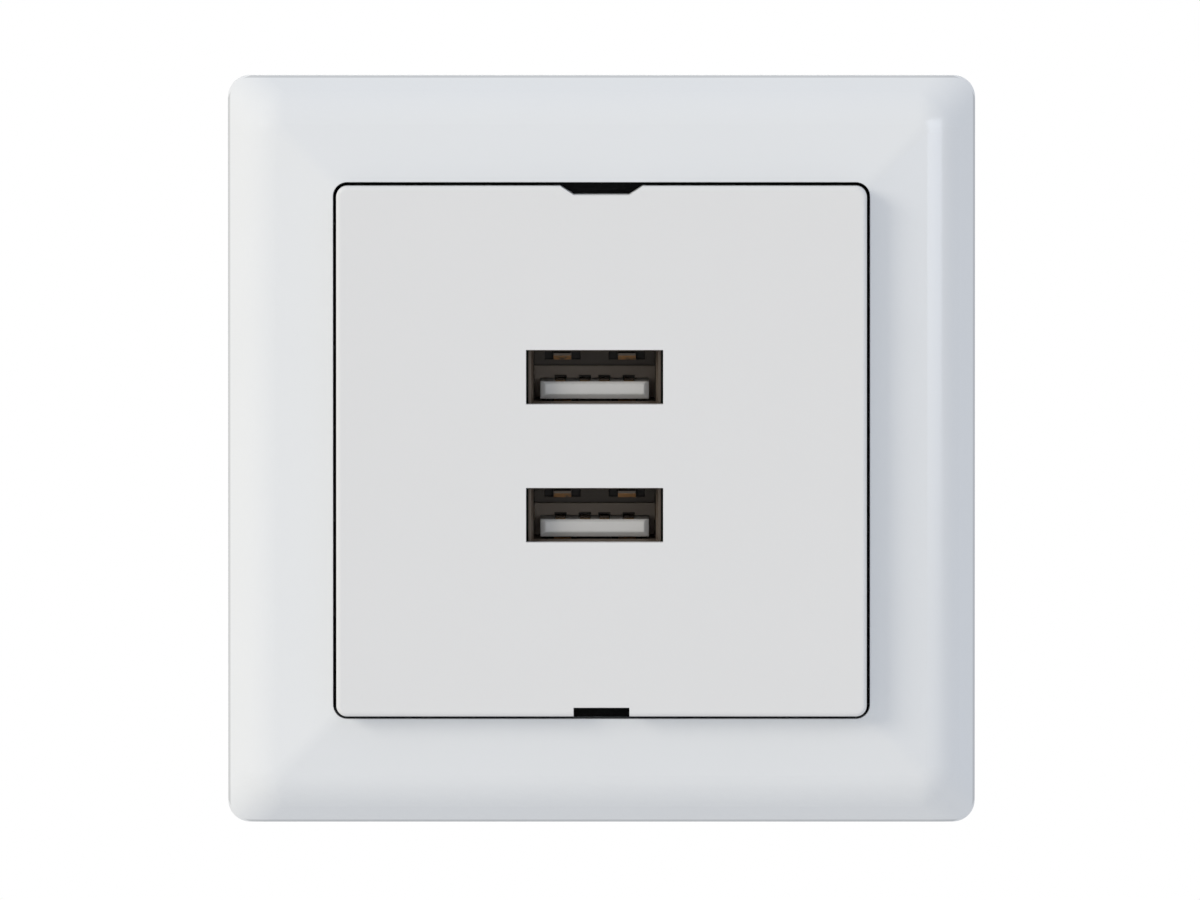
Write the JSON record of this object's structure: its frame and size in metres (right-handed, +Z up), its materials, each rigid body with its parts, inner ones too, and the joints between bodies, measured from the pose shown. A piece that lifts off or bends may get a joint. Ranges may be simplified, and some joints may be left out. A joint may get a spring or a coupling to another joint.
{
  "type": "usb wall socket",
  "caption": "Square wall plate with a raised centre plate holding USB-A charging ports, on a clawed steel yoke, with an electronics case and screw terminals behind the wall.",
  "frame": {"origin": "middle of the wall face, between the yoke's box-screw slots", "axes": "+Z up, +X to the right seen from the front, +Y into the wall; the front faces -Y"},
  "size_m": [0.0764, 0.0346, 0.0764],
  "materials": {
    "frame_plastic": "glossy white moulding",
    "plate_plastic": "satin white moulding",
    "seal_foam": "black closed-cell foam",
    "zinc_steel": "zinc-plated pressed steel",
    "screw_steel": "zinc-plated steel",
    "cover_plastic": "dark flame-retardant moulding",
    "case_plastic": "dark grey flame-retardant moulding",
    "shell_steel": "plated spring steel sheet",
    "carrier_plastic": "dark moulding",
    "tongue_plastic": "grey moulding",
    "contact_metal": "gold-plated strip",
    "board": "green laminate",
    "pin_metal": "tinned brass",
    "black_moulding": "black moulding compound",
    "ferrite": "ferrite",
    "bobbin_plastic": "black moulding",
    "winding_tape": "yellow polyester tape over copper wire",
    "can_sleeve": "aluminium can",
    "fuse_body": "coated barrel",
    "choke_sleeve": "heat-shrink sleeve",
    "disc_coating": "blue coating",
    "terminal_plastic": "grey moulding",
    "cage_steel": "zinc-plated steel",
    "bar_brass": "brass strip"
  },
  "bodies": {
    "socket": {"outer_frame": "frame_plastic", "centre_plate": "plate_plastic", "plate_seal": "seal_foam", "support_yoke": "zinc_steel", "module_front": "cover_plastic", "module_case": "case_plastic", "usb_board": "board", "power_board": "board", "header_pins": "pin_metal", "header_spacer": "black_moulding", "charge_controller": "black_moulding", "output_diode": "black_moulding", "bridge_rectifier": "black_moulding", "transformer_core": "ferrite", "transformer_bobbin": "bobbin_plastic", "transformer_coil": "winding_tape", "transformer_pins": "pin_metal", "output_capacitor": "can_sleeve", "input_fuse": "fuse_body", "filter_choke": "choke_sleeve", "safety_capacitor": "disc_coating", "terminal_block": "terminal_plastic", "input_capacitor_lower": "can_sleeve", "input_capacitor_upper": "can_sleeve", "usb_shell_upper": "shell_steel", "usb_carrier_upper": "carrier_plastic", "usb_tongue_upper": "tongue_plastic", "usb_contacts_upper": "contact_metal", "usb_shell_lower": "shell_steel", "usb_carrier_lower": "carrier_plastic", "usb_tongue_lower": "tongue_plastic", "usb_contacts_lower": "contact_metal", "terminal_bar_live": "bar_brass", "terminal_bar_neutral": "bar_brass"},
    "claw_right": {"claw_right": "zinc_steel"},
    "claw_left": {"claw_left": "zinc_steel"},
    "claw_screw_right": {"claw_screw_right": "screw_steel"},
    "claw_screw_left": {"claw_screw_left": "screw_steel"},
    "terminal_cage_live": {"terminal_cage_live": "cage_steel"},
    "terminal_screw_live": {"terminal_screw_live": "screw_steel"},
    "terminal_cage_neutral": {"terminal_cage_neutral": "cage_steel"},
    "terminal_screw_neutral": {"terminal_screw_neutral": "screw_steel"}
  },
  "joints": [
    {"name": "claw_screw_right_feed", "type": "slide", "parent": "socket", "child": "claw_screw_right", "axis": [0, 1, 0], "range_m": [0, 0.00139]},
    {"name": "claw_right_spread", "type": "hinge", "parent": "socket", "child": "claw_right", "pos_m": [0.02565, 0.0032, 0], "axis": [0, 0, -1], "range_deg": [0, 28]},
    {"name": "claw_screw_left_feed", "type": "slide", "parent": "socket", "child": "claw_screw_left", "axis": [0, 1, 0], "range_m": [0, 0.00139]},
    {"name": "claw_left_spread", "type": "hinge", "parent": "socket", "child": "claw_left", "pos_m": [-0.02565, 0.0032, 0], "axis": [0, 0, 1], "range_deg": [0, 28]},
    {"name": "terminal_cage_live_rise", "type": "slide", "parent": "socket", "child": "terminal_cage_live", "axis": [0, 1, 0], "range_m": [0, 0.0024]},
    {"name": "terminal_screw_live_turn", "type": "hinge", "parent": "socket", "child": "terminal_screw_live", "pos_m": [-0.006, 0.02, -0.01435], "axis": [0, -1, 0], "range_deg": [0, 1440]},
    {"name": "terminal_cage_neutral_rise", "type": "slide", "parent": "socket", "child": "terminal_cage_neutral", "axis": [0, 1, 0], "range_m": [0, 0.0024]},
    {"name": "terminal_screw_neutral_turn", "type": "hinge", "parent": "socket", "child": "terminal_screw_neutral", "pos_m": [0.006, 0.02, -0.01435], "axis": [0, -1, 0], "range_deg": [0, 1440]}
  ],
  "couplings": [
    {"joint": "claw_right_spread", "follows": "claw_screw_right_feed", "rad_per_m": 350},
    {"joint": "claw_left_spread", "follows": "claw_screw_left_feed", "rad_per_m": 350},
    {"joint": "terminal_screw_live_turn", "follows": "terminal_cage_live_rise", "rad_per_m": 10472},
    {"joint": "terminal_screw_neutral_turn", "follows": "terminal_cage_neutral_rise", "rad_per_m": 10472}
  ]
}
